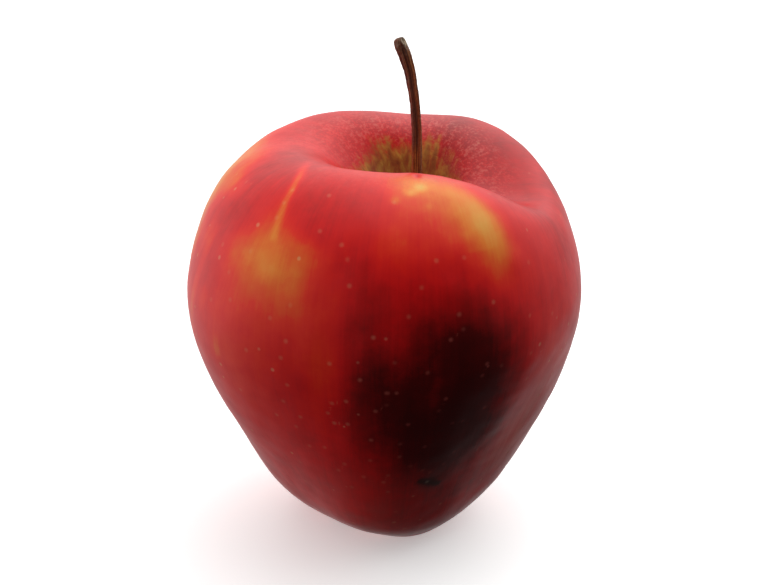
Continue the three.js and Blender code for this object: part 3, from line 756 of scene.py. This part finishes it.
    # the healed nick low on the front: a dark oval with a pale grain in it
    colour = n.mix(n.math("MULTIPLY", n.attribute("bruise"), 0.72), colour, (0.030, 0.012, 0.008))
    pale = n.mix(n.attribute("bruise"), pale, (0.30, 0.22, 0.17))
    colour = n.mix(n.math("MULTIPLY", dot, 0.56), colour, pale)
    rough = n.math("MULTIPLY_ADD", mottle, 0.08, n.math("MULTIPLY_ADD", russet, 0.25, 0.29))
    rough = n.math("MULTIPLY_ADD", dot, 0.10, rough)
    height = n.math("MULTIPLY_ADD", fine, 0.35, n.math("MULTIPLY_ADD", mottle, 0.30, n.math("MULTIPLY", dot, -0.55)))
    height = n.math("MULTIPLY_ADD", n.math("MULTIPLY", rays, russet), 1.6, height)
    normal = n.bump(height, 0.00006, 0.55)
    n.finish(fruit, Base_Color=colour, Roughness=rough, Normal=normal)
    n.shader.inputs["Specular IOR Level"].default_value = 0.24
    n.shader.inputs["IOR"].default_value = 1.5
    return n.material


def stem_material():
    n = Nodes("stem_wood")
    where = n.object_place()
    flow_way = n.attribute("flow", "Vector")
    fibre = n.noise(n.scale(flow_way, (3.2, 3.2, 1.0)), 1.0, 4.0, 0.6, 0.3)
    long_fibre = n.noise(n.scale(flow_way, (1.1, 1.1, 0.45)), 1.0, 3.0, 0.6, 0.2)
    grain = n.noise(where, 2600.0, 3.0, 0.65)
    fleck = n.noise(where, 900.0, 2.0, 0.5)
    tone = n.math("MULTIPLY_ADD", n.math("SUBTRACT", long_fibre, 0.5), 0.9, n.math("MULTIPLY_ADD", n.math("SUBTRACT", grain, 0.5), 0.35, fibre))
    brown = n.colours(tone, [
        (0.22, (0.018, 0.008, 0.005)), (0.40, (0.062, 0.021, 0.011)), (0.52, (0.125, 0.042, 0.020)),
        (0.66, (0.195, 0.080, 0.036)), (0.84, (0.30, 0.17, 0.09))])
    # painted highlight: lighter brown down the right and at the foot, and a purplish sheen on the left; painted shade:
    # a dark stripe between them
    across, up = n.attribute("round"), n.attribute("up")
    foot = n.between(up, 0.50, 0.41)
    brown = n.mix(n.math("MULTIPLY", foot, n.between(across, 0.6, -0.4, 0.25, 1.0)), brown, n.mix(1.0, brown, (2.1, 2.2, 1.2), "MULTIPLY"))
    right = n.between(n.math("MULTIPLY_ADD", n.math("SUBTRACT", long_fibre, 0.5), 0.5, across), 0.05, 0.75)
    brown = n.mix(n.math("MULTIPLY", n.math("MULTIPLY", right, n.between(foot, 0.0, 1.0, 1.0, 0.3)), n.between(up, 0.97, 0.80, 0.45, 0.95)), brown, n.mix(1.0, brown, (2.3, 1.9, 1.2), "MULTIPLY"))
    brown = n.mix(n.between(across, -0.35, -0.95, 0.0, 0.85), brown, n.mix(1.0, brown, (1.75, 1.15, 1.35), "MULTIPLY"))
    # painted shade: a dark stripe down the middle of the front and back, above the foot
    painted_shade_stripe = n.between(n.math("ABSOLUTE", n.math("ADD", across, 0.06)), 0.30, 0.06)
    painted_shade_stripe = n.math("MULTIPLY", painted_shade_stripe, n.math("MULTIPLY", n.between(up, 0.74, 0.62), n.math("SUBTRACT", 1.0, foot)))
    brown = n.mix(n.math("MULTIPLY", painted_shade_stripe, 0.65), brown, (0.016, 0.0045, 0.0015))
    # corky grey-brown knob with a pale scar round a dark core
    knob = n.attribute("knob")
    cork = n.colours(fleck, [(0.32, (0.055, 0.026, 0.014)), (0.52, (0.15, 0.082, 0.05)), (0.70, (0.26, 0.17, 0.115))])
    colour = n.mix(n.math("MULTIPLY", knob, n.between(fleck, 0.38, 0.66, 0.10, 0.80)), brown, cork)
    scar = n.attribute("scar")
    out = n.attribute("scar_out")
    face = n.colours(n.math("MULTIPLY_ADD", n.math("SUBTRACT", grain, 0.5), 0.25, out), [
        (0.10, (0.10, 0.065, 0.035)), (0.30, (0.30, 0.21, 0.13)), (0.52, (0.36, 0.26, 0.165)),
        (0.70, (0.42, 0.31, 0.20)), (0.92, (0.13, 0.08, 0.045))])
    face = n.mix(n.between(fleck, 0.42, 0.60, 0.0, 0.75), face, (0.050, 0.028, 0.018))
    colour = n.mix(scar, colour, face)
    height = n.math("MULTIPLY_ADD", fibre, 1.0, n.math("MULTIPLY_ADD", grain, 0.5, n.math("MULTIPLY", long_fibre, 0.8)))
    rough = n.between(tone, 0.2, 0.9, 0.50, 0.72)
    n.finish(stem, Base_Color=colour, Roughness=rough, Normal=n.bump(height, 0.00012, 0.8))
    n.shader.inputs["Specular IOR Level"].default_value = 0.25
    return n.material


def calyx_material():
    n = Nodes("calyx")
    where = n.object_place()
    along, share = n.attribute("along"), n.attribute("share")
    down = n.noise(where, 3400.0, 2.0, 0.6)
    patchy = n.noise(where, 700.0, 3.0, 0.6)
    veins = n.noise(where, 1500.0, 2.0, 0.6)
    age = n.math("MULTIPLY_ADD", n.math("SUBTRACT", patchy, 0.5), 0.8, n.math("MULTIPLY", along, 0.9))
    colour = n.colours(age, [
        (0.00, (0.20, 0.19, 0.075)), (0.30, (0.165, 0.125, 0.055)), (0.60, (0.105, 0.062, 0.030)),
        (0.85, (0.055, 0.028, 0.014)), (1.00, (0.022, 0.011, 0.006))])
    colour = n.mix(n.between(down, 0.50, 0.68, 0.0, 0.45), colour, (0.36, 0.33, 0.26))
    mid = n.between(n.math("ABSOLUTE", share), 0.26, 0.0)
    colour = n.mix(n.math("MULTIPLY", mid, 0.35), colour, (0.23, 0.16, 0.08))
    height = n.math("MULTIPLY_ADD", down, 0.6, veins)
    n.finish(*sepals, Base_Color=colour, Roughness=n.between(down, 0.3, 0.7, 0.70, 0.92), Normal=n.bump(height, 0.00010, 0.8))
    n.shader.inputs["Specular IOR Level"].default_value = 0.2
    n.shader.inputs["Sheen Weight"].default_value = 0.25
    n.shader.inputs["Sheen Roughness"].default_value = 0.5
    return n.material


def stamen_material():
    n = Nodes("stamen")
    where = n.object_place()
    grain = n.noise(where, 2200.0, 3.0, 0.6)
    patchy = n.noise(where, 800.0, 2.0, 0.5)
    colour = n.colours(n.math("MULTIPLY_ADD", n.math("SUBTRACT", patchy, 0.5), 0.8, grain), [
        (0.25, (0.012, 0.006, 0.004)), (0.45, (0.040, 0.020, 0.011)), (0.60, (0.095, 0.052, 0.026)), (0.80, (0.20, 0.125, 0.065))])
    n.finish(stamens, Base_Color=colour, Roughness=n.between(grain, 0.3, 0.7, 0.65, 0.90), Normal=n.bump(grain, 0.00008, 0.8))
    n.shader.inputs["Specular IOR Level"].default_value = 0.2
    return n.material


skin_material()
stem_material()
calyx_material()
stamen_material()

# ------------------------------------------------------------------------------------------------------------------
# Studio: a pale floor, and soft light from a white surround behind, beside and over the fruit
# ------------------------------------------------------------------------------------------------------------------
floor_mesh = bpy.data.meshes.new("floor")
floor_mesh.from_pydata([(-4, -4, 0), (4, -4, 0), (4, 4, 0), (-4, 4, 0)], [], [(0, 1, 2, 3)])
floor = bpy.data.objects.new("floor", floor_mesh)
collection.objects.link(floor)
floor_mat = bpy.data.materials.new("floor")
floor_mat.use_nodes = True
bsdf = floor_mat.node_tree.nodes["Principled BSDF"]
bsdf.inputs["Base Color"].default_value = (0.93, 0.93, 0.925, 1)
bsdf.inputs["Roughness"].default_value = 0.9
bsdf.inputs["Specular IOR Level"].default_value = 0.0
bsdf.inputs["Emission Color"].default_value = (1, 1, 1, 1)
bsdf.inputs["Emission Strength"].default_value = 0.35
floor_mesh.materials.append(floor_mat)
# the surround goes on below the floor's edge, as a light table does, so the floor lets its light through
floor.visible_diffuse = False
floor.visible_glossy = False
floor.visible_shadow = False

scene.view_settings.view_transform = "Standard"
scene.view_settings.look = "None"

world = bpy.data.worlds.new("world")
scene.world = world
world.use_nodes = True
wt = world.node_tree
way = wt.nodes.new("ShaderNodeTexCoord").outputs["Generated"]


def toward(direction):
    n = wt.nodes.new("ShaderNodeVectorMath")
    n.operation = "DOT_PRODUCT"
    wt.links.new(way, n.inputs[0])
    n.inputs[1].default_value = direction
    return n.outputs["Value"]


def world_math(operation, a, b, c=None):
    n = wt.nodes.new("ShaderNodeMath")
    n.operation = operation
    for i, v in enumerate([a, b] + ([c] if c is not None else [])):
        if isinstance(v, (int, float)):
            n.inputs[i].default_value = v
        else:
            wt.links.new(v, n.inputs[i])
    return n.outputs[0]


def lobe(direction, size, sharp=3.0):
    """A soft bright region of the surround: full size towards direction, fading out a quarter turn from it."""
    return world_math("MULTIPLY", world_math("POWER", world_math("MAXIMUM", toward(direction), 0.0), sharp), size)


surround = 0.03
for direction, size, sharp in (
    ((0.182, 0.355, 0.917), 2.20, 2.9),    # over the fruit, a little behind
    ((-0.030, 0.860, 0.510), 0.45, 4.4),   # behind
    ((-0.914, 0.393, -0.103), 1.00, 3.6),  # left
    ((-0.920, -0.316, 0.231), 0.76, 3.4),  # left, towards the front
    ((0.796, 0.396, 0.459), 0.88, 4.0),    # right
    ((0.510, 0.665, -0.545), 0.40, 15.0),   # low behind on the right
    ((0.000, 0.914, -0.407), 0.95, 13.0),  # the white backdrop, which edges the fruit
):
    surround = world_math("ADD", lobe(direction, size, sharp), surround)
wt.links.new(surround, wt.nodes["Background"].inputs["Strength"])
wt.nodes["Background"].inputs["Color"].default_value = (1, 1, 1, 1)

bpy.context.view_layer.update()
